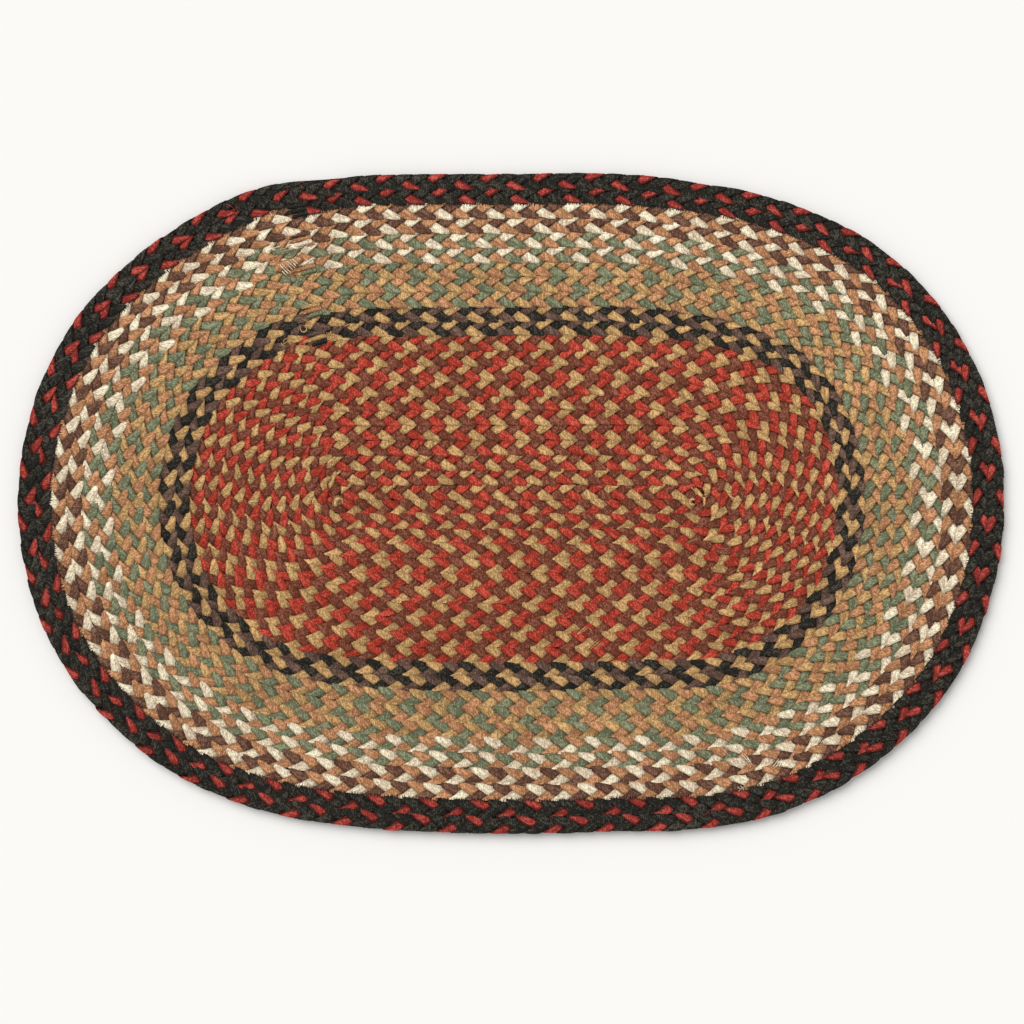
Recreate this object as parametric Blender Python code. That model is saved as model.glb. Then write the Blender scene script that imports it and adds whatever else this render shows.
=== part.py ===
"""An oval braided rug, 760 x 509 mm, lying flat: three-strand jute braid coiled from the middle and laced.

The rug lies on Z = 0. X runs along its length, Y across its width, and the origin is the middle of its
underside. Seen from above, the braid starts at the left end of the middle and goes round clockwise, 22
times. Each turn steps out by the width of one row at the upper left, where the colours change too.
Each object is the length of braid in one set of colours, as laced: a flat underside and a raised rib
for each row. The rows inside one object are laced tight, so they are one solid.
"""

import math

import bmesh
import bpy

THICKNESS = 0.008  # a row of braid, from the floor to its crest
DIP_HEIGHT = 0.0045  # the dip where two rows are laced side by side
CREST_START = 0.28  # the crest of a row runs between these shares of its width
CREST_END = 0.72
LACING_GAP = 0.0003  # between two sets of colours
NARROWEST_ROW = 0.0103  # the braid is laced tightest at the right end of the middle

# The rug's rows follow ovals about the start of the coil. A line of this table is one oval: the rows
# of braid that lie inside it, and how far it reaches from the rug's middle, in metres. One line
# stands at each change of colour.
OVALS = (
    # rows, left, right, top, bottom
    (0, -0.1320, 0.1410, 0.0030, 0.0030),
    (11, -0.2485, 0.2523, 0.1302, -0.1231),
    (13, -0.2724, 0.2732, 0.1524, -0.1455),
    (16, -0.3082, 0.3094, 0.1865, -0.1818),
    (18, -0.3320, 0.3330, 0.2092, -0.2049),
    (20, -0.3560, 0.3565, 0.2319, -0.2297),
    (22, -0.3800, 0.3800, 0.2546, -0.2546),
)

# Each oval has two straight sides and four round corners. A line of this table gives where, along X,
# the corners begin: on the first oval and on the last one. Between them the places change evenly.
CORNERS = (
    # rows, top left, top right, bottom right, bottom left, height of the two ends
    (0, -0.132, 0.141, 0.141, -0.132, 0.003),
    (22, -0.108, 0.107, 0.116, -0.085, 0.0),
)

# One turn, clockwise from the top left corner, is cut into stations. A corner has more than a side.
SIDE_STATIONS = 6
CORNER_STATIONS = 11
TURN_STATIONS = 2 * SIDE_STATIONS + 4 * CORNER_STATIONS
STEP_STATIONS = 3  # the stations over which an outer row steps out to the next one
MIDDLE_STEP_STATIONS = 10  # the same where the coil starts, and less and less from there

# The rug isn't quite even. At these stations it stands out or in by this share of a row. The outer
# rows all do, and the middle ones less and less. The jump near the end is the tail of the braid.
UNEVEN = (
    # station, rows outwards
    (0, -0.10),
    (5, 0.00),
    (7, -0.45),
    (9, -0.25),
    (11, 0.30),
    (13, 0.35),
    (17, 0.00),
    (21, 0.20),
    (25, 0.00),
    (28, -0.20),
    (31, 0.00),
    (33, -0.10),
    (35, -0.35),
    (38, 0.20),
    (42, 0.20),
    (44, 0.00),
    (47, 0.00),
    (49, 0.15),
    (52, 0.00),
    (54, 0.20),
    (55, -0.15),
    (56, -0.10),
)
EVEN_TO = 11  # inside this row the rug is less and less uneven, and its steps are longer

# The lengths of braid in one set of colours, from the middle outwards.
BANDS = (
    # name, first row, last row, main colour of its yarns as linear RGB
    ("red_centre", 1, 11, (0.30, 0.07, 0.04)),
    ("dark_ring", 12, 13, (0.05, 0.04, 0.03)),
    ("green_gold_band", 14, 16, (0.28, 0.22, 0.10)),
    ("cream_green_band", 17, 18, (0.38, 0.30, 0.20)),
    ("cream_brown_band", 19, 20, (0.36, 0.24, 0.16)),
    ("black_border", 21, 22, (0.03, 0.02, 0.02)),
)
JUTE_ROUGHNESS = 0.95

ROWS = BANDS[-1][2]


def between(table, key, column):
    """The value of a column of a table at this key, on a straight line between its two lines."""
    for low, high in zip(table, table[1:]):
        if key <= high[0] or high is table[-1]:
            share = (key - low[0]) / (high[0] - low[0])
            return low[column] + (high[column] - low[column]) * share


def eased(share):
    """From 0 to 1, starting and ending gently."""
    share = min(max(share, 0.0), 1.0)
    return share * share * (3 - 2 * share)


def on_oval(rows, station):
    """Where the oval with this many rows inside it passes a station."""
    rows += between(UNEVEN, station, 1) * min(rows / EVEN_TO, 1.0)
    left, right, top, bottom = (between(OVALS, rows, column) for column in (1, 2, 3, 4))
    top_left, top_right, low_right, low_left, ends = (
        between(CORNERS, rows, column) for column in (1, 2, 3, 4, 5)
    )
    if station <= SIDE_STATIONS:
        return top_left + (top_right - top_left) * station / SIDE_STATIONS, top
    station -= SIDE_STATIONS
    if station <= 2 * CORNER_STATIONS:
        turn = station / CORNER_STATIONS * math.pi / 2
        corner, side = (top_right, top) if station <= CORNER_STATIONS else (low_right, bottom)
        return corner + (right - corner) * math.sin(turn), ends + (side - ends) * abs(math.cos(turn))
    station -= 2 * CORNER_STATIONS
    if station <= SIDE_STATIONS:
        return low_right + (low_left - low_right) * station / SIDE_STATIONS, bottom
    station -= SIDE_STATIONS
    turn = station / CORNER_STATIONS * math.pi / 2
    corner, side = (low_left, bottom) if station <= CORNER_STATIONS else (top_left, top)
    return corner + (left - corner) * math.sin(turn), ends + (side - ends) * abs(math.cos(turn))


def section_of(row_count, has_inner_wall):
    """The section across a band, as (rows from its inner side, height) from foot to foot and back underneath."""
    section = [(0.0, 0.0)] if has_inner_wall else []
    for row in range(row_count):
        section.append((row, DIP_HEIGHT))
        section.append((row + CREST_START, THICKNESS))
        section.append((row + CREST_END, THICKNESS))
    section.append((row_count, DIP_HEIGHT))
    section += [(row, 0.0) for row in range(row_count, -1, -1)]
    return section


def place_on_band(first_row, last_row, station, across, height):
    """Where a point of the band's section comes to lie at a station, as X, Y and Z."""
    row_count = last_row - first_row + 1
    rows = first_row - 1 + across
    longer = (MIDDLE_STEP_STATIONS - STEP_STATIONS) * max(1 - rows / EVEN_TO, 0.0)
    step = eased(1 + (station - TURN_STATIONS) / (STEP_STATIONS + longer))
    gap = LACING_GAP / NARROWEST_ROW
    if last_row == ROWS:
        # Nothing lies outside the last row, and its tail narrows to nothing against the row inside.
        gap = 0.0
        tail = max(across - (row_count - 1), 0.0)
        rows += step * (1 - tail)
        if tail:
            height = min(height, DIP_HEIGHT + (THICKNESS - DIP_HEIGHT) * (1 - step))
    else:
        rows += step
    turn_done = station == TURN_STATIONS
    if across == row_count or (across == row_count - 1 and turn_done):
        rows -= gap
    x, y = on_oval(rows, station)
    if turn_done and across > row_count - 1 and last_row != ROWS:
        # The cut end of the braid stops short of the next set of colours.
        back_x, back_y = on_oval(rows, station - 1)
        length = math.hypot(back_x - x, back_y - y)
        x += (back_x - x) * LACING_GAP / length
        y += (back_y - y) * LACING_GAP / length
    return x, y, height


def make_band(name, first_row, last_row, colour, collection):
    """One length of braid in one set of colours: a sheet wrapped round its section and along the turn."""
    section = section_of(last_row - first_row + 1, has_inner_wall=first_row > 1)
    bpy.ops.mesh.primitive_grid_add(
        x_subdivisions=TURN_STATIONS, y_subdivisions=len(section) - 1, size=1.0
    )
    band = bpy.context.active_object
    band.name = band.data.name = name
    for point in band.data.vertices:
        station = round((point.co.x + 0.5) * TURN_STATIONS)
        across, height = section[round((point.co.y + 0.5) * (len(section) - 1))]
        point.co = place_on_band(first_row, last_row, station, across, height)
    close_band(band.data)
    band.data.shade_smooth()
    band.data.set_sharp_from_angle(angle=math.radians(50))
    band.data.materials.append(jute(name, colour))
    for other in band.users_collection:
        other.objects.unlink(band)
    collection.objects.link(band)


def close_band(mesh):
    """Joins the end of each row to the start of the next one, closes what is left open and turns the faces out."""
    shape = bmesh.new()
    shape.from_mesh(mesh)
    bmesh.ops.remove_doubles(shape, verts=shape.verts, dist=0.00001)
    bmesh.ops.dissolve_degenerate(shape, edges=shape.edges, dist=0.000001)
    open_edges = [edge for edge in shape.edges if edge.is_boundary]
    bmesh.ops.holes_fill(shape, edges=open_edges, sides=0)
    bmesh.ops.recalc_face_normals(shape, faces=shape.faces)
    shape.to_mesh(mesh)
    shape.free()


def jute(name, colour):
    """Dyed jute in the main colour of one band: rough and matte."""
    material = bpy.data.materials.new(name + "_jute")
    material.use_nodes = True
    shader = material.node_tree.nodes["Principled BSDF"]
    shader.inputs["Base Color"].default_value = (*colour, 1.0)
    shader.inputs["Roughness"].default_value = JUTE_ROUGHNESS
    shader.inputs["Metallic"].default_value = 0.0
    return material


for thing in list(bpy.data.objects):
    bpy.data.objects.remove(thing, do_unlink=True)

rug = bpy.data.collections.new("braided_rug")
bpy.context.scene.collection.children.link(rug)

for name, first_row, last_row, colour in BANDS:
    make_band(name, first_row, last_row, colour, rug)
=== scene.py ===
"""An oval braided rug: three-strand jute braid, coiled flat from the middle and laced, 760 x 509 x 8 mm."""

import math
import random
from bisect import bisect_right

import bpy
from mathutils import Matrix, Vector, noise
from mathutils.bvhtree import BVHTree


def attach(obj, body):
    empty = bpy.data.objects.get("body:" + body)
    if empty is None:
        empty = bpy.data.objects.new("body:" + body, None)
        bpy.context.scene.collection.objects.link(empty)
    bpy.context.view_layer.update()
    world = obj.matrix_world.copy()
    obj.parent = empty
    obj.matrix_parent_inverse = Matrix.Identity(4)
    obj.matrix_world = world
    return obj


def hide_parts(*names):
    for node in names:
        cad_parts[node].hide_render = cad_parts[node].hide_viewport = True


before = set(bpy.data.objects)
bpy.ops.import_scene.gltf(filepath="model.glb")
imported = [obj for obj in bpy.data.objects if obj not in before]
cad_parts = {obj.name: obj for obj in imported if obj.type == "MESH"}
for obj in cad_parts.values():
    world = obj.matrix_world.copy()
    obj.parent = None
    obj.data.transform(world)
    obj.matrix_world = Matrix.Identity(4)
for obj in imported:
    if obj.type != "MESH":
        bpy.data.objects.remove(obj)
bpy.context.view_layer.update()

# ---------------------------------------------------------------------------------------------
# The view. The photograph looks straight down on the rug, with the rug's length across the frame.
# The frame is 793 mm wide at the rug's surface.
# ---------------------------------------------------------------------------------------------
VIEW_HEIGHT = 2.2
VIEW_WIDTH = 0.7926
VIEW_MIDDLE = (0.0008, -0.0066)
SENSOR_WIDTH = 36  # mm

bpy.ops.object.select_all(action="DESELECT")
bpy.ops.object.camera_add(location=(*VIEW_MIDDLE, VIEW_HEIGHT), rotation=(0, 0, 0))
camera = bpy.context.active_object
camera.name = "overhead_camera"
camera.data.sensor_width = SENSOR_WIDTH
camera.data.lens = SENSOR_WIDTH * VIEW_HEIGHT / VIEW_WIDTH
bpy.context.scene.camera = camera

# ---------------------------------------------------------------------------------------------
# The red centre, rows 1 to 11: a braid of three jute strands, red, gold and brown. It starts with a
# tight fold at the left end of the middle and runs round clockwise. Each row is laced to the last
# one, and leans over that row's outer edge.
# ---------------------------------------------------------------------------------------------

# The ovals that the rows follow: the rows inside the oval, and its reach from the rug's middle.
OVALS = (
    # rows, left, right, top, bottom
    (0, -0.1320, 0.1410, 0.0030, 0.0030),
    (11, -0.2485, 0.2523, 0.1302, -0.1231),
    (13, -0.2724, 0.2732, 0.1524, -0.1455),
    (16, -0.3082, 0.3094, 0.1865, -0.1818),
    (18, -0.3320, 0.3330, 0.2092, -0.2049),
    (20, -0.3560, 0.3565, 0.2319, -0.2297),
    (22, -0.3800, 0.3800, 0.2546, -0.2546),
)
# Where the round corners of the innermost and the outermost oval begin, along X.
CORNERS = (
    # rows, top left, top right, bottom right, bottom left, height of the two ends
    (0, -0.132, 0.141, 0.141, -0.132, 0.003),
    (22, -0.108, 0.107, 0.116, -0.085, 0.0),
)
# One turn, clockwise from the top left corner, is cut into stations.
SIDE_STATIONS = 6
CORNER_STATIONS = 11
TURN_STATIONS = 2 * SIDE_STATIONS + 4 * CORNER_STATIONS
STEP_STATIONS = 3  # the stations over which an outer row steps out to the next one
MIDDLE_STEP_STATIONS = 10  # the same where the coil starts, and less and less from there
# The outer rows stand out or in by this share of a row, as laced by hand.
UNEVEN = (
    # station, rows outwards
    (0, -0.10), (5, 0.00), (7, -0.45), (9, -0.25), (11, 0.30), (13, 0.35), (17, 0.00), (21, 0.20),
    (25, 0.00), (28, -0.20), (31, 0.00), (33, -0.10), (35, -0.35), (38, 0.20), (42, 0.20),
    (44, 0.00), (47, 0.00), (49, 0.15), (52, 0.00), (54, 0.20), (55, -0.15), (56, -0.10),
)
EVEN_TO = 11  # inside this row the rug is less and less uneven, and its steps are longer
ROWS = 22
POINTS_PER_STATION = 8
TURN_POINTS = TURN_STATIONS * POINTS_PER_STATION
SMOOTHINGS = 12
SWAY = 0.0006  # how far a row strays from its oval
SWAY_PACE = 0.09  # and how soon, for each point of the way
HAND_SEED = 5  # for the noise that makes the braid uneven


def between(table, key, column):
    """The value of a column of a table at this key, on a straight line between its two lines."""
    for low, high in zip(table, table[1:]):
        if key <= high[0] or high is table[-1]:
            share = (key - low[0]) / (high[0] - low[0])
            return low[column] + (high[column] - low[column]) * share


def on_oval(rows, station):
    """Where the oval with this many rows inside it passes a station."""
    rows += between(UNEVEN, station, 1) * min(max(rows, 0) / EVEN_TO, 1.0)
    left, right, top, bottom = (between(OVALS, rows, column) for column in (1, 2, 3, 4))
    top_left, top_right, low_right, low_left, ends = (
        between(CORNERS, rows, column) for column in (1, 2, 3, 4, 5)
    )
    if station <= SIDE_STATIONS:
        return top_left + (top_right - top_left) * station / SIDE_STATIONS, top
    station -= SIDE_STATIONS
    if station <= 2 * CORNER_STATIONS:
        turn = station / CORNER_STATIONS * math.pi / 2
        corner, side = (top_right, top) if station <= CORNER_STATIONS else (low_right, bottom)
        return corner + (right - corner) * math.sin(turn), ends + (side - ends) * abs(math.cos(turn))
    station -= 2 * CORNER_STATIONS
    if station <= SIDE_STATIONS:
        return low_right + (low_left - low_right) * station / SIDE_STATIONS, bottom
    station -= SIDE_STATIONS
    turn = station / CORNER_STATIONS * math.pi / 2
    corner, side = (low_left, bottom) if station <= CORNER_STATIONS else (top_left, top)
    return corner + (left - corner) * math.sin(turn), ends + (side - ends) * abs(math.cos(turn))


def way_of_braid():
    """The middle line of the whole coil as points, and the braid's width and outward side at each."""
    points, sides = [], []
    for row in range(1, ROWS + 1):
        for step in range(TURN_POINTS):
            station = step / POINTS_PER_STATION
            rows, half = row - 0.5, 0.5
            longer = (MIDDLE_STEP_STATIONS - STEP_STATIONS) * max(1 - rows / EVEN_TO, 0.0)
            out = min(max(1 + (station - TURN_STATIONS) / (STEP_STATIONS + longer), 0.0), 1.0)
            out = out * out * (3 - 2 * out)
            if row < ROWS:
                rows += out
            else:
                # The tail of the braid narrows to nothing as the row inside it steps out.
                rows, half = rows + out / 2, half * (1 - out)
            points.append(on_oval(rows, station))
            sides.append((on_oval(rows - half, station), on_oval(rows + half, station)))
    for _ in range(SMOOTHINGS):
        trios = zip(points, points[1:], points[2:])
        smooth = [tuple((a + 2 * b + c) / 4 for a, b, c in zip(*trio)) for trio in trios]
        points = points[:1] + smooth + points[-1:]
    for place, (x, y) in enumerate(points):
        sway = noise.noise_vector(Vector((place * SWAY_PACE, 0, 0)))
        points[place] = (x + SWAY * sway.x, y + SWAY * sway.y)
    widths, outwards = [], []
    for place, (inner, outer) in enumerate(sides):
        along = Vector(points[min(place + 1, len(points) - 1)]) - Vector(points[max(place - 1, 0)])
        outward = Vector((-along.y, along.x)).normalized()
        widths.append(abs((Vector(outer) - Vector(inner)).dot(outward)))
        outwards.append(outward)
    return points, widths, outwards


noise.seed_set(HAND_SEED)
coil_points, coil_widths, coil_outwards = way_of_braid()
coil_lengths = [0.0]
for point, next_point in zip(coil_points, coil_points[1:]):
    coil_lengths.append(coil_lengths[-1] + math.dist(point, next_point))

# A strand is flat. It runs slantwise over the braid to its outer edge, folds round that edge, comes
# up again in the middle and runs slantwise over the braid to its inner edge. A repeat is 360 degrees
# and holds two such runs. The table is one run, in degrees from its middle. The underside is the top
# turned over, a quarter of a repeat on.
RUN = (
    # degrees, reach to the outer edge, reach to the inner edge, height there, height at its slant edge
    (-90, 0.0028, 0.0028, 0.0050, 0.0050),
    (-60, 0.0050, 0.0046, 0.0063, 0.0063),
    (-30, 0.0061, 0.0054, 0.0072, 0.0074),
    (0, 0.0063, 0.0062, 0.0074, 0.0077),
    (30, 0.0063, 0.0067, 0.0074, 0.0077),
    (60, 0.0063, 0.0066, 0.0072, 0.0070),
    (75, 0.0061, 0.0061, 0.0066, 0.0048),
    (90, 0.0056, 0.0054, 0.0050, 0.0050),
)
SLANT = 0.0056  # how far to the side a slant edge runs in a quarter of a repeat
RUN_SHIFT = 0.0006  # the slant edges cross this far outside the middle of the row
THICKNESS = 0.008
SIDE_SHARE = 0.4  # where the middle of a side lies, between its top and bottom edges
ROW_LEAN = 0.04  # each row leans over the row inside it, by this slope
STRAND_SIDES = 6
RUN_RINGS = [line[0] for line in RUN[:-1]]
STRAND_RINGS = [*RUN_RINGS, *(degrees + 180 for degrees in RUN_RINGS), 270]


def top_of(phase, fullness):
    """The outer and inner edge of a strand's top at this phase in degrees, as (Y, Z) each."""
    phase = (phase + 90) % 360 - 90
    inwards = phase >= 90
    degrees = phase - 180 if inwards else phase
    outer, inner, edge_height, own_height = (between(RUN, degrees, column) for column in (1, 2, 3, 4))
    own = SLANT * degrees / 90 - fullness
    if inwards:
        return (RUN_SHIFT - own, own_height), (-inner, edge_height)
    return (outer, edge_height), (RUN_SHIFT + own, own_height)


def strand_corner(phase, side, level, fullness):
    """Where a corner of the strand's section lies at this phase, in Y and Z. Side 0 is the outer one."""
    top_y, top_z = top_of(phase, fullness)[side]
    low_y, low_z = top_of(90 - phase, fullness)[side]
    low_z = THICKNESS - low_z
    share = {"top": 0.0, "middle": SIDE_SHARE, "low": 1.0}[level]
    y = top_y + (low_y - top_y) * share
    z = top_z + (low_z - top_z) * (0.5 if level == "middle" else share)
    return y, z - ROW_LEAN * y


# The UV map "runs" says where a point lies on its run, for the painted shade at the edges of the lozenges.
RUN_SHARE = 0.4  # of the map for half a run, about a middle of 0.5
# A strand's sides lie outside every lozenge and take the full painted shade; a loose thread lies inside one
# and takes none.
BESIDE_RUN = (0.5, -0.2)  # the place given to a strand's sides
ON_RUN = (0.5, 0.6)  # and to a loose thread
# The UV map "yarns" follows the yarns of a strand, for their grain: U along it and V round it.
STRAND_ROUND = 0.017  # once round a strand


def on_run(phase, face_start, y, fullness):
    """A point's place on its run, as U along the run and V in slants from the strand's own edge."""
    turns = math.floor((face_start + 90) / 360) * 360
    phase, face_start = phase - turns, face_start - turns
    if face_start >= 90:
        along = (phase - 180) / 90
        across = (RUN_SHIFT - y + fullness) / SLANT - along
    else:
        along = phase / 90
        across = (y - RUN_SHIFT + fullness) / SLANT - along
    return 0.5 + RUN_SHARE * along, across


def model_strand(name, fullness):
    """One repeat of a strand, 1 m long along X: a ring of six points, extruded along its way."""
    bpy.ops.object.select_all(action="DESELECT")
    bpy.ops.mesh.primitive_circle_add(
        vertices=STRAND_SIDES, radius=1.0, fill_type="NOTHING", rotation=(0, math.pi / 2, 0)
    )
    strand = bpy.context.active_object
    strand.name = name
    bpy.ops.object.transform_apply(location=True, rotation=True, scale=True)
    bpy.ops.object.mode_set(mode="EDIT")
    bpy.ops.mesh.select_all(action="SELECT")
    for phase, next_phase in zip(STRAND_RINGS, STRAND_RINGS[1:]):
        move = ((next_phase - phase) / 360, 0, 0)
        bpy.ops.mesh.extrude_region_move(TRANSFORM_OT_translate={"value": move})
    bpy.ops.mesh.select_all(action="SELECT")
    bpy.ops.mesh.normals_make_consistent(inside=False)
    bpy.ops.object.mode_set(mode="OBJECT")
    bpy.ops.object.shade_smooth()
    corners = []
    for point in strand.data.vertices:
        phase = min(STRAND_RINGS, key=lambda ring: abs((ring + 90) / 360 - point.co.x))
        level = {1: "top", 0: "middle", -1: "low"}[round(point.co.z)]
        corners.append((phase, int(point.co.y < 0), level))
    strand.data.uv_layers.new(name="yarns")
    strand.data.uv_layers.new(name="runs")
    yarns, runs = strand.data.uv_layers["yarns"], strand.data.uv_layers["runs"]
    for face in strand.data.polygons:
        around = [corners[index] for index in face.vertices]
        start = min(phase for phase, side, level in around)
        end = max(phase for phase, side, level in around)
        inwards = start >= 90
        levels = {level for phase, side, level in around}
        for loop, (phase, side, level) in zip(face.loop_indices, around):
            y, z = strand_corner(phase, side, level, fullness)
            if levels == {"low"}:
                runs.data[loop].uv = on_run(90 - phase, 90 - end, y, fullness)
            elif levels == {"top"}:
                runs.data[loop].uv = on_run(phase, start, y, fullness)
            else:
                runs.data[loop].uv = BESIDE_RUN
                edge_y, edge_z = strand_corner(phase, side, "top", fullness)
                y = edge_y + (edge_z - z) * (1, -1)[side]
            slant = SLANT * (phase - 180 if inwards else phase) / 90
            across = (y + slant if inwards else y - slant) / STRAND_ROUND
            yarns.data[loop].uv = (phase + 90) / 360, across
    for point, corner in zip(strand.data.vertices, corners):
        point.co.y, point.co.z = strand_corner(*corner, fullness)
    return strand


strand_repeat = model_strand("strand_repeat", fullness=0.0)

ROW_WIDTH = 0.0115
WIDEST_ROW = 1.05  # shares of a row's width, between which the braid gives way to its neighbours
THINNEST_ROW = 0.04


def ends_of(first_row, last_row):
    """The points of the way between which these rows lie. The colours change halfway through a step."""
    half_step = STEP_STATIONS * POINTS_PER_STATION // 2
    start = max((first_row - 1) * TURN_POINTS - half_step, 0)
    end = last_row * TURN_POINTS - half_step if last_row < ROWS else len(coil_points) - 1
    return start, end


def lay_way(start, end):
    """A curve along the middle line of the coil, as wide as the braid, to bend a straight braid with."""
    way = bpy.data.curves.new("way", "CURVE")
    way.dimensions = "3D"
    way.twist_mode = "Z_UP"
    spline = way.splines.new("POLY")
    spline.points.add(end - start)
    for point, place in zip(spline.points, range(start, end + 1)):
        point.co = (*coil_points[place], 0, 1)
        point.radius = min(max(coil_widths[place] / ROW_WIDTH, THINNEST_ROW), WIDEST_ROW)
    guide = bpy.data.objects.new("way", way)
    bpy.context.scene.collection.objects.link(guide)
    return guide


def pace_of(first_row, start, end, repeat, phases):
    """How far along its way the braid has come after so many repeats, as a list of (repeats, metres).

    A repeat is the length of braid in which a strand comes back to the same side. The phases are
    how far into a repeat the braid is where each row passes the rug's top middle, at X = 0.
    """
    pace = []
    for row, phase in enumerate(phases, first_row):
        place = (row - 1) * TURN_POINTS
        while coil_points[place][0] < 0:
            place += 1
        length = coil_lengths[place] - coil_lengths[start]
        if not pace:
            repeats = phase + math.ceil(length / repeat)
            pace.append((repeats - length / repeat, 0.0))
        else:
            repeats = pace[-1][0] + (length - pace[-1][1]) / repeat
        pace.append((phase + round(repeats - phase), length))
    length = coil_lengths[end] - coil_lengths[start]
    return pace + [(pace[-1][0] + (length - pace[-1][1]) / repeat, length)]


WELD = 0.00002


def copy_of(shape, name):
    """A copy of a modelled shape with a mesh of its own, selected and active."""
    piece = shape.copy()
    piece.data = shape.data.copy()
    piece.name = piece.data.name = name
    bpy.context.scene.collection.objects.link(piece)
    bpy.ops.object.select_all(action="DESELECT")
    piece.select_set(True)
    bpy.context.view_layer.objects.active = piece
    return piece


def repeat_along(piece, count, pitch):
    """Repeats the piece along X, each copy its pitch from the last one, and one further along U."""
    copies = piece.modifiers.new("copies", "ARRAY")
    copies.count = count
    copies.use_relative_offset = False
    copies.use_constant_offset = True
    copies.constant_offset_displace = (pitch, 0, 0)
    copies.use_merge_vertices = True
    copies.merge_threshold = WELD
    copies.offset_u = 1.0
    bpy.ops.object.modifier_apply(modifier="copies")


RUN_START = 0.135  # how far into a repeat the first outward run has its middle
SPARE_REPEATS = 1  # laid before the start of a strand, and cut off again
CUT_INSIDE = 0.001  # of a repeat, so that no cut falls on a ring of points
SHARP_ANGLE = math.radians(50)
# No two repeats of a hand-made braid are quite alike.
STRAND_STRAY = 0.0005  # how far a strand lies beside its even place
STRAND_LIFT = 0.25  # the share of that by which it lies above or below
STRAND_SWELL = 0.13  # how much thicker or thinner it is, as a share
STRAND_SLIP = 0.03  # how far along it is pulled, in repeats
STRAY_PACE = 1.7  # and how soon that changes, for each repeat
SWELL_PACE = 1.3  # and how much sooner the thickness does
STRAND_APART = 10.0  # between two strands in the noise, so that each has a way of its own


def lay_strand(name, guide, pace, turn, material, shape, first=None, last=None):
    """One strand of a braid: the repeat copied along the way, a third of a repeat behind the last strand."""
    strand = copy_of(shape, name)
    first = pace[0][0] if first is None else first
    last = pace[-1][0] if last is None else last
    repeat_along(strand, math.ceil(last) + SPARE_REPEATS + 1, 1.0)
    bpy.ops.object.mode_set(mode="EDIT")
    bpy.ops.mesh.select_all(action="SELECT")
    bpy.ops.transform.translate(value=(turn / 3 - (SPARE_REPEATS + 90 / 360) + RUN_START, 0, 0))
    bpy.ops.mesh.bisect(
        plane_co=(first + CUT_INSIDE, 0, 0), plane_no=(1, 0, 0), use_fill=True, clear_inner=True
    )
    bpy.ops.mesh.select_all(action="SELECT")
    bpy.ops.mesh.bisect(
        plane_co=(last - CUT_INSIDE, 0, 0), plane_no=(1, 0, 0), use_fill=True, clear_outer=True
    )
    bpy.ops.mesh.select_all(action="SELECT")
    bpy.ops.mesh.normals_make_consistent(inside=False)
    bpy.ops.object.mode_set(mode="OBJECT")
    for point in strand.data.vertices:
        repeats = point.co.x
        spot = Vector((repeats * STRAY_PACE, STRAND_APART * turn, pace[-1][1]))
        stray = noise.noise_vector(spot)
        change = noise.noise_vector(spot * SWELL_PACE)
        swell = 1 + STRAND_SWELL * change.x
        point.co.y = point.co.y * swell + STRAND_STRAY * stray.x
        point.co.z += STRAND_STRAY * stray.y * STRAND_LIFT
        point.co.x = between(pace, repeats + STRAND_SLIP * stray.z, 1)
    bend = strand.modifiers.new("bend", "CURVE")
    bend.object = guide
    bpy.ops.object.modifier_apply(modifier="bend")
    bpy.ops.object.shade_smooth_by_angle(angle=SHARP_ANGLE)
    strand.data.materials.append(material)
    return strand


def linear(hex_colour):
    """An sRGB hex value as linear RGBA."""
    shares = [int(hex_colour[start : start + 2], 16) / 255 for start in (1, 3, 5)]
    return (*(s / 12.92 if s <= 0.04045 else ((s + 0.055) / 1.055) ** 2.4 for s in shares), 1.0)


def add_node(tree, kind, links=(), values=(), **settings):
    """Adds a node with its settings, sets these inputs to values and links what the others read."""
    node = tree.nodes.new(kind)
    for key, value in settings.items():
        setattr(node, key, value)
    for key, value in dict(values).items():
        node.inputs[key].default_value = value
    for key, source in dict(links).items():
        tree.links.new(source, node.inputs[key])
    return node


JUTE_ROUGHNESS = 0.9
JUTE_SHINE = 0.2
MILLIMETRES = 1000  # in a metre
# The grain, in mm. The real bumps are about 1 mm apart, too fine to show from here, so they are
# drawn coarser.
STRAND_LENGTH = 43  # of one repeat, along the strand
BUMP_LENGTH = 1.7  # along a yarn, from one turn of its plies to the next
BUMP_WIDTH = 1.5  # from yarn to yarn
BUMP_UNEVEN = 0.7
PLY_SLANT = 0.25  # bumps sideways for each bump along, as the plies are twisted
# How light a point is: the shade of its bump and of the dye round it, less a painted shade that
# deepens from the middle of its bump out to the hollow beside it.
DYE_REACH = 9.0  # bumps from a deep patch of the dye to a pale one
DYE_DETAIL = 3.0
BUMP_SHADES = 0.45
PAINTED_HOLLOW_DEPTH = -0.8
DARKEST, LIGHTEST = -0.2, 0.95
# And what colour that gives: where on the way from dark to light, and how much of the dye's colour.
# The dark end is painted shade in the hollows, the light end a painted highlight on the bumps' tips.
PAINTED_HOLLOW_SHADE = (0.15, 0.45)
DYED_SHADE = (0.55, 0.9)
PAINTED_TIP_HIGHLIGHT = (0.85, 1.5)
TIP_HIGHLIGHT_TINT = "#423C34"  # a grey added to the dye's colour for the painted highlight on top of each bump
PALEST = 0.95
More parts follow.
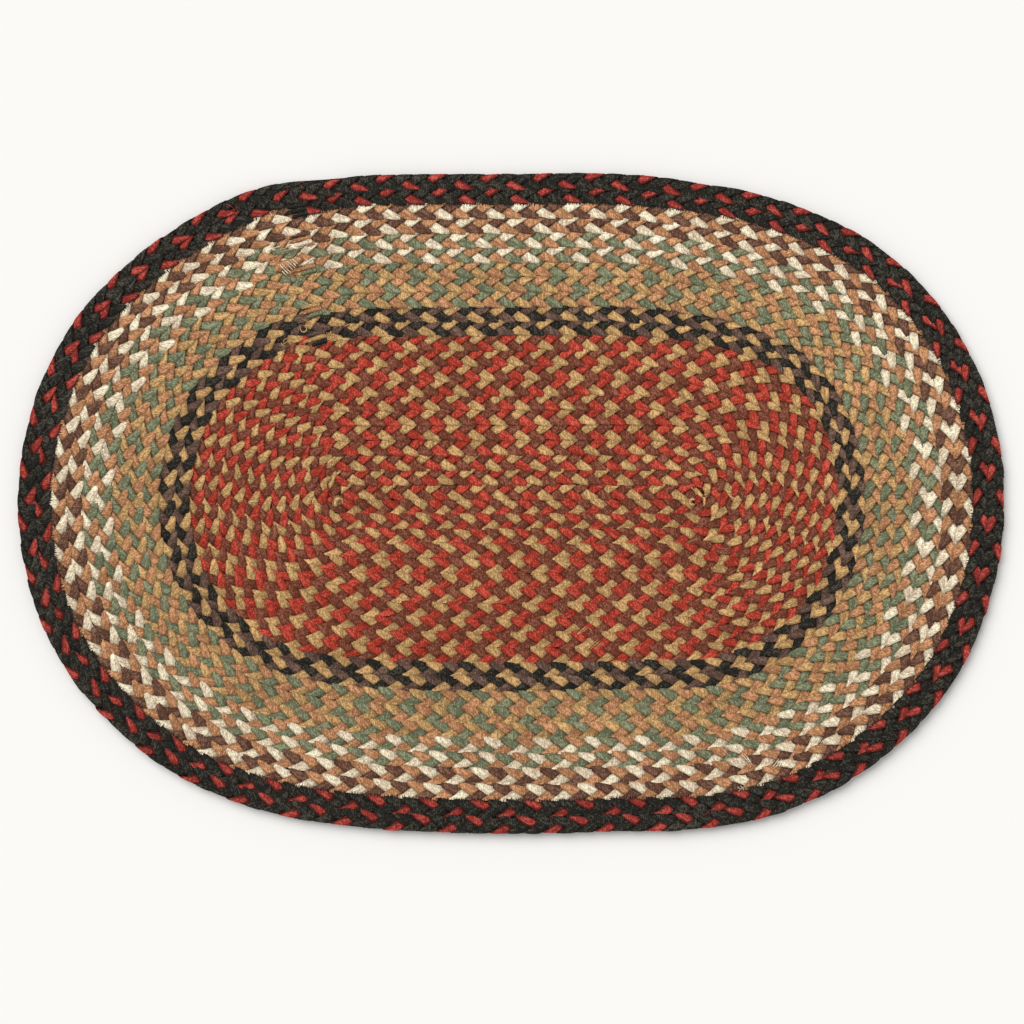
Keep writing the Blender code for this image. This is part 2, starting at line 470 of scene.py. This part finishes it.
# How far a point is inside each edge of the lozenge that shows of a run, in mm: so much for the share
# along the run, so much for each slant across it, and so much for all points.
LOZENGE_EDGES = (
    # along, across, all
    (0.0, 4.8, 0.0),  # its own slant edge
    (0.0, -4.8, 6.4),  # the edge of the strand that goes before it
    (-5.6, -5.6, 7.0),  # the edge of the row
    (9.6, 4.8, 3.2),  # the edge of the strand that it comes out from under
)
EDGE_ROUND = 2.2  # mm over which two edges of a lozenge run into each other
EDGE_REACH = 1.3  # mm from a lozenge's edge to where the painted shade beside it ends
EDGE_PAINTED_SHADE = 0.72  # the share of its colour that an edge keeps under the painted shade
CROWN_RELIEF = 0.0015
GRAIN_RELIEF = 0.0004
RELIEF_STRENGTH = 0.5


def dyed_jute(name, colour, painted_shade_inset=0.0, painted_edge_shade=EDGE_PAINTED_SHADE):
    """Dyed jute, spun and plied: matte, and grainy all over, as each turn of a ply is a small pale bump.

    The fibres take the dye unevenly, so each bump has its own shade, and longer stretches of a
    strand are deeper or paler. The hollows between the bumps are darkened with painted shade, and
    their tips lightened with a painted highlight. The edges where one strand goes down under the
    next are darkened with painted shade too, so that each run of a strand shows as a rounded lozenge.
    """
    material = bpy.data.materials.new(name)
    material.use_nodes = True
    tree = material.node_tree
    shader = tree.nodes["Principled BSDF"]
    shader.inputs["Roughness"].default_value = JUTE_ROUGHNESS
    shader.inputs["Specular IOR Level"].default_value = JUTE_SHINE

    # The grain: a cell for each bump, on a slant to the yarns.
    uv = add_node(tree, "ShaderNodeUVMap", uv_map="yarns")
    scale = (STRAND_LENGTH / BUMP_LENGTH, MILLIMETRES * STRAND_ROUND / BUMP_WIDTH, 0)
    size = add_node(tree, "ShaderNodeVectorMath", {0: uv.outputs[0]}, {1: scale}, operation="MULTIPLY")
    sides = add_node(tree, "ShaderNodeSeparateXYZ", {0: size.outputs[0]})
    slanted = add_node(
        tree, "ShaderNodeMath", {0: sides.outputs["X"], 2: sides.outputs["Y"]}, {1: PLY_SLANT},
        operation="MULTIPLY_ADD",
    )
    plies = add_node(
        tree, "ShaderNodeCombineXYZ", {"X": sides.outputs["X"], "Y": slanted.outputs[0]}
    )
    bumps = add_node(
        tree, "ShaderNodeTexVoronoi", {"Vector": plies.outputs[0]},
        {"Scale": 1.0, "Randomness": BUMP_UNEVEN}, voronoi_dimensions="2D",
    )

    # The dye, from the painted shade in the hollows to the painted highlight on the tips.
    shades = add_node(tree, "ShaderNodeSeparateColor", {0: bumps.outputs["Color"]})
    dye = add_node(
        tree, "ShaderNodeTexNoise", {"Vector": plies.outputs[0]},
        {"Scale": 1 / DYE_REACH, "Detail": DYE_DETAIL},
    )
    uneven = add_node(
        tree, "ShaderNodeMath", {0: shades.outputs[0], 2: dye.outputs["Fac"]}, {1: BUMP_SHADES},
        operation="MULTIPLY_ADD",
    )
    hollow = add_node(
        tree, "ShaderNodeMath", {0: bumps.outputs["Distance"], 2: uneven.outputs[0]}, {1: PAINTED_HOLLOW_DEPTH},
        operation="MULTIPLY_ADD",
    )
    shade = add_node(
        tree, "ShaderNodeMapRange", {"Value": hollow.outputs[0]},
        {"From Min": DARKEST, "From Max": LIGHTEST},
    )
    colours = add_node(tree, "ShaderNodeValToRGB", {0: shade.outputs[0]})
    base, tip_highlight_tint = linear(colour)[:3], linear(TIP_HIGHLIGHT_TINT)[:3]
    ramp = colours.color_ramp
    (dark_at, dark), (dyed_at, dyed), (tip_at, tip) = PAINTED_HOLLOW_SHADE, DYED_SHADE, PAINTED_TIP_HIGHLIGHT
    ramp.elements[0].position, ramp.elements[1].position = dark_at, tip_at
    # The darkest stop is painted shade, the palest a painted highlight.
    ramp.elements[0].color = (*(c * dark for c in base), 1)
    ramp.elements[1].color = (*(min(c * tip + highlight_tint, PALEST) for c, highlight_tint in zip(base, tip_highlight_tint)), 1)
    ramp.elements.new(dyed_at).color = (*(c * dyed for c in base), 1)

    # The crown of each lozenge: how far a point is inside the nearest of its four edges. It darkens the
    # colour near the edges as painted shade, and raises the lozenge's middle as a bump. Each repeat is one
    # further along U than the last, and the same place on its run has the same fraction.
    run = add_node(tree, "ShaderNodeUVMap", uv_map="runs")
    place = add_node(tree, "ShaderNodeSeparateXYZ", {0: run.outputs[0]})
    along = add_node(tree, "ShaderNodeMath", {0: place.outputs["X"]}, operation="FRACT")
    spot = add_node(
        tree, "ShaderNodeCombineXYZ", {"X": along.outputs[0], "Y": place.outputs["Y"]}, {"Z": 1.0}
    )
    inside = None
    for slope, across, everywhere in LOZENGE_EDGES:
        edge = (slope / RUN_SHARE, across, everywhere - 0.5 * slope / RUN_SHARE)
        far = add_node(
            tree, "ShaderNodeVectorMath", {0: spot.outputs[0]}, {1: edge}, operation="DOT_PRODUCT"
        ).outputs["Value"]
        if inside:
            far = add_node(
                tree, "ShaderNodeMath", {0: inside, 1: far}, {2: EDGE_ROUND}, operation="SMOOTH_MIN"
            ).outputs[0]
        inside = far
    crown = add_node(
        tree, "ShaderNodeMapRange", {"Value": inside},
        {"From Min": painted_shade_inset, "From Max": painted_shade_inset + EDGE_REACH, "To Min": painted_edge_shade},
        interpolation_type="SMOOTHSTEP",
    )
    # Painted shade: the colour is darkened towards the edges of each lozenge.
    shaded = add_node(
        tree, "ShaderNodeVectorMath", {0: colours.outputs[0], "Scale": crown.outputs[0]}, operation="SCALE"
    )
    tree.links.new(shaded.outputs[0], shader.inputs["Base Color"])

    crown_bump = add_node(
        tree, "ShaderNodeBump", {"Height": crown.outputs[0]},
        {"Strength": RELIEF_STRENGTH, "Distance": CROWN_RELIEF},
    )
    grain_bump = add_node(
        tree, "ShaderNodeBump", {"Height": shade.outputs[0], "Normal": crown_bump.outputs[0]},
        {"Strength": RELIEF_STRENGTH, "Distance": GRAIN_RELIEF},
    )
    tree.links.new(grain_bump.outputs[0], shader.inputs["Normal"])
    return material


def finish_band(node, strands):
    """Puts the strands of a band in place of its node."""
    for strand in strands:
        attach(strand, "root")
        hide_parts(node)


def lay_braid(node, rows, repeat, phases, strands):
    """Three strands braided from the first of these rows to the last, in place of a node of the model."""
    start, end = ends_of(*rows)
    guide = lay_way(start, end)
    pace = pace_of(rows[0], start, end, repeat, phases)
    laid = [
        lay_strand(f"{node}_{name}", guide, pace, turn, material, strand_repeat)
        for turn, (name, material) in enumerate(strands)
    ]
    bpy.data.objects.remove(guide)
    finish_band(node, laid)
    return laid


CENTRE_ROWS = (1, 11)
CENTRE_REPEAT = 0.0345
CENTRE_PHASES = (0.32, 0.56, 0.47, 0.31, 0.835, 0.37, 0.82, 0.14, 0.57, 0.935, 0.255)
red_jute = dyed_jute("jute_dyed_red", "#A83726")
gold_jute = dyed_jute("jute_dyed_gold", "#B7905D")
brown_jute = dyed_jute("jute_dyed_brown", "#743C29")
red_centre = lay_braid(
    "red_centre", CENTRE_ROWS, CENTRE_REPEAT, CENTRE_PHASES,
    (("red", red_jute), ("gold", gold_jute), ("brown", brown_jute)),
)

# ---------------------------------------------------------------------------------------------
# The dark ring, rows 12 and 13: black, purple-brown and gold jute. The braid goes on from the red
# centre, with its strands joined to new ones at the upper left.
# ---------------------------------------------------------------------------------------------
RING_ROWS = (12, 13)
RING_REPEAT = 0.0364
RING_PHASES = (0.14, 0.12)
black_jute = dyed_jute("jute_dyed_black", "#22201A")
purple_brown_jute = dyed_jute("jute_dyed_purple_brown", "#5E463B")
dark_ring = lay_braid(
    "dark_ring", RING_ROWS, RING_REPEAT, RING_PHASES,
    (("black", black_jute), ("purple_brown", purple_brown_jute), ("gold", gold_jute)),
)

# ---------------------------------------------------------------------------------------------
# The green and gold band, rows 14 to 16: green, gold and sienna jute. It is joined to the dark ring
# at the upper left, and is braided and laced like it.
# ---------------------------------------------------------------------------------------------
GREEN_ROWS = (14, 16)
GREEN_REPEAT = 0.0360
GREEN_PHASES = (0.757, 0.18, 0.646)
green_jute = dyed_jute("jute_dyed_green", "#74785B")
sienna_jute = dyed_jute("jute_dyed_sienna", "#B27E57")
green_gold_band = lay_braid(
    "green_gold_band", GREEN_ROWS, GREEN_REPEAT, GREEN_PHASES,
    (("green", green_jute), ("gold", gold_jute), ("sienna", sienna_jute)),
)

# ---------------------------------------------------------------------------------------------
# The cream and green band, rows 17 and 18: cream, sienna and green jute, braided and laced as before.
# The cream is hardly dyed, so it is the palest yarn of the rug.
# ---------------------------------------------------------------------------------------------
CREAM_ROWS = (17, 18)
CREAM_REPEAT = 0.0384
CREAM_PHASES = (0.256, 0.195)
cream_jute = dyed_jute("jute_bleached_cream", "#E7D0B1")
cream_green_band = lay_braid(
    "cream_green_band", CREAM_ROWS, CREAM_REPEAT, CREAM_PHASES,
    (("cream", cream_jute), ("sienna", sienna_jute), ("green", green_jute)),
)

# ---------------------------------------------------------------------------------------------
# The cream and brown band, rows 19 and 20: the same cream and sienna jute, with a dark brown strand
# in place of the green one. It is braided and laced as before.
# ---------------------------------------------------------------------------------------------
BROWN_ROWS = (19, 20)
BROWN_REPEAT = 0.0395
BROWN_PHASES = (0.037, 0.939)
dark_brown_jute = dyed_jute("jute_dyed_dark_brown", "#644333")
cream_brown_band = lay_braid(
    "cream_brown_band", BROWN_ROWS, BROWN_REPEAT, BROWN_PHASES,
    (("cream", cream_jute), ("sienna", sienna_jute), ("brown", dark_brown_jute)),
)

# ---------------------------------------------------------------------------------------------
# The black border, rows 21 and 22: two full black strands and a thinner red one, which shows as red
# dots. The red strand is cut off before the end, and the braid's tail is black and narrows to
# nothing at the upper left.
# ---------------------------------------------------------------------------------------------
BORDER_ROWS = (21, 22)
BORDER_REPEAT = 0.0405
BORDER_PHASES = (0.24, 0.32)
RED_FULLNESS = -0.0006  # how much wider a strand is than an even one, at its slant edge
BLACK_FULLNESS = 0.0003
RED_PAINTED_SHADE_INSET = 0.4  # mm in from the red lozenge's edges over which it keeps only its darkest painted shade
RED_EDGE_PAINTED_SHADE = 0.3  # and the share of its colour that the painted shade leaves there, less than on the other strands
RED_ENDS_AT = -0.189  # X, on the last row
thin_repeat = model_strand("thin_repeat", RED_FULLNESS)
full_repeat = model_strand("full_repeat", BLACK_FULLNESS)
border_black_jute = dyed_jute("jute_dyed_deep_black", "#22211B")
border_red_jute = dyed_jute("jute_dyed_deep_red", "#9A352C", RED_PAINTED_SHADE_INSET, RED_EDGE_PAINTED_SHADE)

border_start, border_end = ends_of(*BORDER_ROWS)
guide = lay_way(border_start, border_end)
pace = pace_of(BORDER_ROWS[0], border_start, border_end, BORDER_REPEAT, BORDER_PHASES)
place = border_end
while coil_points[place][0] > RED_ENDS_AT:
    place -= 1
tail_length = coil_lengths[border_end] - coil_lengths[place]
red_end = pace[-1][0] - tail_length / BORDER_REPEAT
black_border = [
    lay_strand("black_border_first_black", guide, pace, 0, border_black_jute, full_repeat),
    lay_strand("black_border_second_black", guide, pace, 1, border_black_jute, full_repeat),
    lay_strand("black_border_red", guide, pace, 2, border_red_jute, thin_repeat, last=red_end),
    lay_strand("black_border_tail", guide, pace, 2, border_black_jute, full_repeat, first=red_end),
]
bpy.data.objects.remove(guide)
finish_band("black_border", black_border)
for shape in (strand_repeat, thin_repeat, full_repeat):
    bpy.data.objects.remove(shape)

# ---------------------------------------------------------------------------------------------
# The lacing of the border: short black thread ends all along the border's inner edge, where the
# thread that ties it on comes up and over the cream and brown rows. They lie on the braid.
# ---------------------------------------------------------------------------------------------
THREAD_SIDES = 4
THREAD_FLATNESS = 0.6  # its thickness, as a share of its width
THICKEST_THREAD = 0.0013  # but a wide one is no thicker than this
THREAD_RISE = 0.3  # how much of half its thickness a thread stands above the braid under it
THREAD_PITCH = 2.0  # from one straight thread to the next, before they are laid
THREAD_SPARE = 0.2  # before the root of a straight thread, what still counts as that thread
THREAD_STEP = 0.1  # the share of a thread's way over which its direction is read
HEIGHT_ABOVE = 1.0  # well above the braid, from where its height is felt out


def model_thread(name, tapers):
    """A thread end, 1 m long along X and 2 m thick: a square, extruded and thinned to a tip."""
    bpy.ops.object.select_all(action="DESELECT")
    bpy.ops.mesh.primitive_circle_add(
        vertices=THREAD_SIDES, radius=tapers[0], fill_type="NGON", rotation=(0, math.pi / 2, 0)
    )
    thread = bpy.context.active_object
    thread.name = name
    bpy.ops.object.transform_apply(location=True, rotation=True, scale=True)
    bpy.ops.object.mode_set(mode="EDIT")
    bpy.ops.mesh.select_all(action="SELECT")
    step = 1 / (len(tapers) - 1)
    for ring, (last, taper) in enumerate(zip(tapers, tapers[1:]), 1):
        bpy.ops.mesh.extrude_region_move(TRANSFORM_OT_translate={"value": (step, 0, 0)})
        grow = (1, taper / last, taper / last)
        bpy.ops.transform.resize(value=grow, center_override=(ring * step, 0, 0))
    bpy.ops.mesh.select_all(action="SELECT")
    bpy.ops.mesh.normals_make_consistent(inside=False)
    bpy.ops.object.mode_set(mode="OBJECT")
    bpy.ops.object.shade_smooth()
    thread.data.uv_layers.new(name="yarns")
    thread.data.uv_layers.new(name="runs")
    return thread


def top_of_braid(strands):
    """The surface of these strands, for threads to lie on."""
    points, faces = [], []
    for strand in strands:
        first = len(points)
        points += [point.co.copy() for point in strand.data.vertices]
        faces += [[first + index for index in face.vertices] for face in strand.data.polygons]
    return BVHTree.FromPolygons(points, faces)


def path_at(spots, share):
    """Where a smooth line through these spots has come to, at this share of its way."""
    legs = len(spots) - 1
    leg = min(max(math.floor(share * legs), 0), legs - 1)
    t = share * legs - leg
    before, start, end, after = (Vector(spots[min(max(leg + n, 0), legs)]) for n in (-1, 0, 1, 2))
    bend = (2 * before - 5 * start + 4 * end - after) * t**2 + (3 * start - before - 3 * end + after) * t**3
    return (2 * start + (end - before) * t + bend) / 2


def height_at(spot):
    """How high the braid is at this spot."""
    hit = braid_top.ray_cast((spot.x, spot.y, HEIGHT_ABOVE), (0, 0, -1))[0]
    return hit.z if hit else 0.0


def lay_threads(name, material, shape, width, paths, height=None):
    """A thread for each of these paths, all as one piece, on the braid or with its middle at a height."""
    threads = copy_of(shape, name)
    thickness = min(THREAD_FLATNESS * width, THICKEST_THREAD)
    repeat_along(threads, len(paths), THREAD_PITCH)
    yarns, runs = threads.data.uv_layers["yarns"], threads.data.uv_layers["runs"]
    for face in threads.data.polygons:
        for loop, index in zip(face.loop_indices, face.vertices):
            x, y, z = threads.data.vertices[index].co
            path = paths[math.floor((x + THREAD_SPARE) / THREAD_PITCH)]
            length = math.dist(path[0], path[-1])
            along = x * length * MILLIMETRES / STRAND_LENGTH
            yarns.data[loop].uv = along, y * width / 2 / STRAND_ROUND
            runs.data[loop].uv = ON_RUN
    for point in threads.data.vertices:
        number = math.floor((point.co.x + THREAD_SPARE) / THREAD_PITCH)
        share = point.co.x - THREAD_PITCH * number
        before, middle, after = (
            path_at(paths[number], min(max(share + step, 0), 1)) for step in (-THREAD_STEP, 0, THREAD_STEP)
        )
        side = Vector((before.y - after.y, after.x - before.x)).normalized() * point.co.y * width / 2
        z = height or max(height_at(spot) for spot in (before, middle, after)) + THREAD_RISE * thickness / 2
        point.co = (middle.x + side.x, middle.y + side.y, z + point.co.z * thickness / 2)
    threads.data.materials.append(material)
    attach(threads, "root")


STITCH_TAPER = (0.8, 1.0, 0.3)  # its half width at each ring, from its root to its tip
STITCH_WIDTH = 0.0006
STITCH_PITCH = 0.00125
STITCH_UNEVEN = 0.4  # how far along a stitch is from its even place, in pitches
STITCH_ROOT = 0.0008  # outwards from the border's inner edge
STITCH_REACH = (0.0008, 0.0026)  # inwards from that edge, the shortest and the longest
STITCH_SLANT = 0.0007  # how far to the side a tip may lie
STITCH_SEED = 21
stitch_shape = model_thread("stitch", STITCH_TAPER)
braid_top = top_of_braid(
    red_centre + dark_ring + green_gold_band + cream_green_band + cream_brown_band + black_border
)
stitching = random.Random(STITCH_SEED)


def stitches_along(start, end):
    """Short paths across the inner edge of the braid, between these points of the way."""
    paths = []
    for number in range(int((coil_lengths[end] - coil_lengths[start]) / STITCH_PITCH)):
        uneven = stitching.uniform(-STITCH_UNEVEN, STITCH_UNEVEN)
        length = coil_lengths[start] + (number + uneven) * STITCH_PITCH
        place = max(bisect_right(coil_lengths, length) - 1, 0)
        share = (length - coil_lengths[place]) / (coil_lengths[place + 1] - coil_lengths[place])
        middle = Vector(coil_points[place]).lerp(Vector(coil_points[place + 1]), share)
        outward = coil_outwards[place]
        along = Vector((outward.y, -outward.x))
        edge = middle - outward * coil_widths[place] / 2
        slant = along * stitching.uniform(-STITCH_SLANT, STITCH_SLANT)
        tip = edge - outward * stitching.uniform(*STITCH_REACH) + slant
        paths.append((edge + outward * STITCH_ROOT, tip))
    return paths


lay_threads(
    "border_lacing", border_black_jute, stitch_shape, STITCH_WIDTH,
    stitches_along(border_start, border_start + TURN_POINTS),
)
bpy.data.objects.remove(stitch_shape)

# ---------------------------------------------------------------------------------------------
# The joins. Where new yarns are joined in, at the upper left, their cut ends are thinned and lie over
# the ends of the old ones.
# ---------------------------------------------------------------------------------------------
THREAD_TAPER = (0.55, 0.9, 1.0, 1.0, 1.0, 0.95, 0.85, 0.7, 0.3)
thread_shape = model_thread("thread", THREAD_TAPER)
JOINS = (
    # first row, slot, and the name and yarn of each new strand, from the row's inner edge outwards
    (
        RING_ROWS[0], "black_gold_purple_jute",
        (("black", black_jute), ("gold", gold_jute), ("purple", purple_brown_jute)),
    ),
    (
        GREEN_ROWS[0], "green_gold_sienna_jute",
        (("green", green_jute), ("sienna", sienna_jute), ("gold", gold_jute)),
    ),
    (
        CREAM_ROWS[0], "cream_sienna_green_jute",
        (("green", green_jute), ("sienna", sienna_jute), ("cream", cream_jute)),
    ),
    (
        BROWN_ROWS[0], "cream_sienna_brown_jute",
        (("cream", cream_jute), ("sienna", sienna_jute), ("brown", dark_brown_jute)),
    ),
    (
        BORDER_ROWS[0], "black_red_jute",
        (("inner", border_black_jute), ("middle", border_black_jute), ("outer", border_black_jute)),
    ),
)
END_WIDTH = 0.0042
END_SPACING = 0.0034  # from one strand's end to the next, across the row
END_SPREAD = 1.2  # how much further apart they are at their tips
END_ROOT = 0.005  # along the row, after the join
END_REACH = (0.008, 0.013, 0.010)  # and before it
for first_row, slot, strands in JOINS:
    place = ends_of(first_row, ROWS)[0]
    middle, outward = Vector(coil_points[place]), coil_outwards[place]
    along = Vector((outward.y, -outward.x))
    for number, (name, material) in enumerate(strands):
        side = outward * (number - 1) * END_SPACING
        tip = middle + side * END_SPREAD - along * END_REACH[number]
        lay_threads(
            f"join_{first_row}_{name}_end", material, thread_shape, END_WIDTH,
            [(middle + side + along * END_ROOT, middle + side, tip)],
        )

# ---------------------------------------------------------------------------------------------
# The folds and the loose threads. The braid is folded on itself at both ends of the middle, with a
# strand in a loop there. Joins are frayed or caught with pale stitches, and here and there a yarn has
# come loose. Each piece has its paths in pixels of the photograph, traced.
# ---------------------------------------------------------------------------------------------
START_FOLD = (((333, 499), (337, 492.5), (343.5, 486)),)
START_FOLD_LOW = (((339.5, 483), (340, 490.5), (340.5, 498)),)
START_LOOP = (((336.3, 507), (336, 502.5), (337.3, 499.6), (340, 498.7), (342.6, 500), (343.2, 504)),)
RIGHT_FOLD = (((703.5, 494.5), (705.3, 500), (705.3, 506.5)),)
RIGHT_FOLD_LOW = (((694.5, 495.5), (700.3, 490), (706, 484.5)),)
RIGHT_FOLD_LOOP = (((694.5, 504.5), (690.5, 504.5), (689.3, 501.5), (691.5, 499.3), (694.5, 500)),)
RIGHT_FOLD_CURL = (
    ((690.5, 487.5), (693.5, 490.5), (696.5, 495)), ((701, 492.5), (704, 495), (708, 494.5)),
)
CREAM_JOIN_FOLD = (((276, 270), (289, 265.5), (304, 259.5)),)
CREAM_JOIN_STITCHES = (
    ((281, 266), (289, 275)), ((283, 265), (292, 274)), ((286, 263), (294, 271)),
    ((288, 262), (296, 269)), ((291, 261), (297, 267)), ((293, 260), (299, 265)),
    ((296, 258), (300, 262)), ((283, 272), (287, 276)), ((286, 271), (290, 275)),
    ((272, 250), (282, 247)), ((273, 251), (277, 251)), ((304, 266), (315, 258)),
    ((299, 256), (306, 249)), ((308, 253), (317, 246)), ((326, 264), (330, 269)),
    ((328, 262), (332, 267)), ((331, 262), (334, 266)),
)
SIENNA_JOIN_THREADS = (
    ((298, 259), (308, 270)), ((301, 258), (311, 269)), ((304, 261), (310, 272)),
    ((281, 252), (292, 246)), ((284, 274), (296, 278)), ((290, 275), (300, 276)),
)
GOLD_JOIN_THREADS = (
    ((301, 327), (301.5, 331.5), (305, 332.8), (307.5, 330), (306.5, 327), (304, 326)),
    ((303, 320), (307, 321.5), (311, 325.5)), ((324, 339), (326, 336), (328, 333)),
    ((327, 340), (328.5, 336), (329, 333.5)), ((329, 339), (331, 335), (331.5, 331)),
    ((332, 339), (332.5, 336), (331.8, 332.5)), ((334, 339), (335, 337), (334, 334)),
    ((323, 339), (329, 340), (336, 338)), ((345, 327), (348, 325.5), (351, 324)),
    ((283, 346), (287, 343), (292, 342.5)), ((282, 343), (283.5, 346), (286, 347)),
    ((284, 343), (285.5, 340), (290, 338)),
)
LOWER_JOIN_THREADS = (
    ((736, 758), (745, 763)), ((738, 755), (747, 764)), ((741, 753), (749, 763)),
    ((744, 754), (751, 763)), ((746, 755), (752, 765)), ((772, 766), (778, 758)),
    ((775, 766), (781, 758)), ((778, 766), (783, 759)), ((737, 786), (740, 789)),
    ((740, 785), (743, 788)), ((743, 784), (746, 787)), ((738, 790), (741, 787)),
)
SPLIT_GOLD_STRAND = (
    ((587, 649), (598, 639)), ((590, 649), (600, 640)), ((594, 649), (602, 642)),
    ((577, 634), (586, 626)), ((579, 634), (588, 627)), ((589, 628), (592, 631)),
)
BORDER_LOOSE_THREADS = (
    ((227, 205), (233, 208), (236, 213)), ((230, 212), (235, 211), (240, 207)),
    ((299, 185), (302, 187), (305, 190)), ((299, 208), (301, 211), (304, 213)),
    ((326, 194), (327, 196), (329, 196)),
)
# The height of the middle of a piece that doesn't just lie on the braid.
DEEP = 0.0034  # the strand that shows deep down in a fold, from above and below
LOW = 0.0052
HIGH = 0.0072
OVER = 0.0080
TOPMOST = 0.0088
LOOSE_PIECES = (
    # name, slot, yarn, width, paths, height
    ("start_fold", "red_gold_brown_jute", brown_jute, 0.0062, START_FOLD, LOW),
    ("start_fold_low", "red_gold_brown_jute", brown_jute, 0.0050, START_FOLD_LOW, DEEP),
    ("start_loop", "red_gold_brown_jute", gold_jute, 0.0042, START_LOOP, HIGH),
    ("right_fold", "red_gold_brown_jute", brown_jute, 0.0046, RIGHT_FOLD, LOW),
    ("right_fold_low", "red_gold_brown_jute", brown_jute, 0.0058, RIGHT_FOLD_LOW, DEEP),
    ("right_fold_loop", "red_gold_brown_jute", gold_jute, 0.0024, RIGHT_FOLD_LOOP, OVER),
    ("right_fold_curl", "red_gold_brown_jute", gold_jute, 0.0014, RIGHT_FOLD_CURL, None),
    ("cream_join_fold", "cream_sienna_green_jute", sienna_jute, 0.0088, CREAM_JOIN_FOLD, OVER),
    ("cream_join_stitches", "cream_sienna_green_jute", cream_jute, 0.0009, CREAM_JOIN_STITCHES, TOPMOST),
    ("sienna_join_threads", "cream_sienna_green_jute", sienna_jute, 0.0009, SIENNA_JOIN_THREADS, None),
    ("gold_join_threads", "black_gold_purple_jute", gold_jute, 0.0010, GOLD_JOIN_THREADS, None),
    ("lower_join_threads", "cream_sienna_brown_jute", cream_jute, 0.0008, LOWER_JOIN_THREADS, None),
    ("split_gold_strand", "red_gold_brown_jute", gold_jute, 0.0010, SPLIT_GOLD_STRAND, None),
    ("border_loose_threads", "black_red_jute", border_red_jute, 0.0006, BORDER_LOOSE_THREADS, None),
)
PHOTO_SIZE = 1024  # pixels
PIXEL = VIEW_WIDTH / PHOTO_SIZE


def seen_at(path):
    """Pixels of the photograph, as places on the rug."""
    middle = PHOTO_SIZE / 2
    return [
        (VIEW_MIDDLE[0] + (x - middle) * PIXEL, VIEW_MIDDLE[1] - (y - middle) * PIXEL) for x, y in path
    ]


for name, slot, material, width, paths, height in LOOSE_PIECES:
    lay_threads(name, material, thread_shape, width, [seen_at(path) for path in paths], height)
bpy.data.objects.remove(thread_shape)

# ---------------------------------------------------------------------------------------------
# The floor and the light: a matt white board, plain and pale, so that the rug's soft shadow shows. A
# large soft light comes from the upper left, in a white room.
# ---------------------------------------------------------------------------------------------
FLOOR_SIZE = 6
FLOOR_ROUGHNESS = 0.8
LIGHT_TILT = (-0.55, -0.55, 0)  # radians
LIGHT_SPREAD = 0.9  # radians across
LIGHT_ENERGY = 2.4
ROOM_STRENGTH = 0.59
bpy.ops.object.select_all(action="DESELECT")
bpy.ops.mesh.primitive_plane_add(size=FLOOR_SIZE, location=(0, 0, 0))
floor = bpy.context.active_object
floor.name = "floor"
floor_paint = bpy.data.materials.new("matt_white_board")
floor_paint.use_nodes = True
floor_shader = floor_paint.node_tree.nodes["Principled BSDF"]
floor_shader.inputs["Base Color"].default_value = linear("#EDEBE8")
floor_shader.inputs["Roughness"].default_value = FLOOR_ROUGHNESS
floor.data.materials.append(floor_paint)

bpy.ops.object.light_add(type="SUN", rotation=LIGHT_TILT)
soft_light = bpy.context.active_object
soft_light.name = "soft_light"
soft_light.data.angle = LIGHT_SPREAD
soft_light.data.energy = LIGHT_ENERGY
room = bpy.data.worlds.new("room")
bpy.context.scene.world = room
room.use_nodes = True
room.node_tree.nodes["Background"].inputs["Color"].default_value = linear("#FFFFFF")
room.node_tree.nodes["Background"].inputs["Strength"].default_value = ROOM_STRENGTH
bpy.context.scene.view_settings.view_transform = "Standard"
